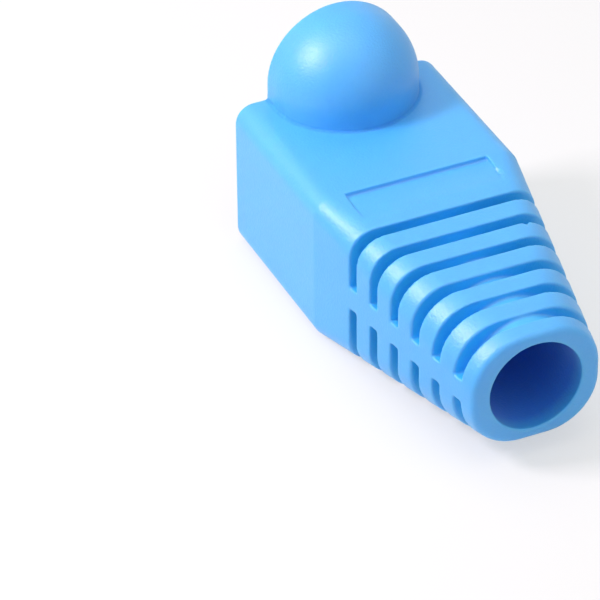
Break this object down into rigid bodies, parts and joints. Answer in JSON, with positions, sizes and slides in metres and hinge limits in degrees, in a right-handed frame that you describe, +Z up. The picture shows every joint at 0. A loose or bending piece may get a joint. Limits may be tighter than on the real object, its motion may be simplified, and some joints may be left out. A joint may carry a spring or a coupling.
{
  "type": "rj45 strain relief boot",
  "caption": "One-piece soft moulded boot that slides over a modular plug, with a latch hood, a plug cavity and a ribbed flexing tail round the cable.",
  "frame": {"origin": "middle of the footprint, on the flat underside", "axes": "+Y from the mouth that takes the plug towards the cable end, +Z up out of the side with the latch hood, +X to the right looking along +Y"},
  "size_m": [0.014, 0.0284, 0.0162],
  "materials": {
    "boot": "satin soft moulded PVC, slightly translucent"
  },
  "bodies": {
    "root": {"boot": "boot"}
  },
  "joints": []
}
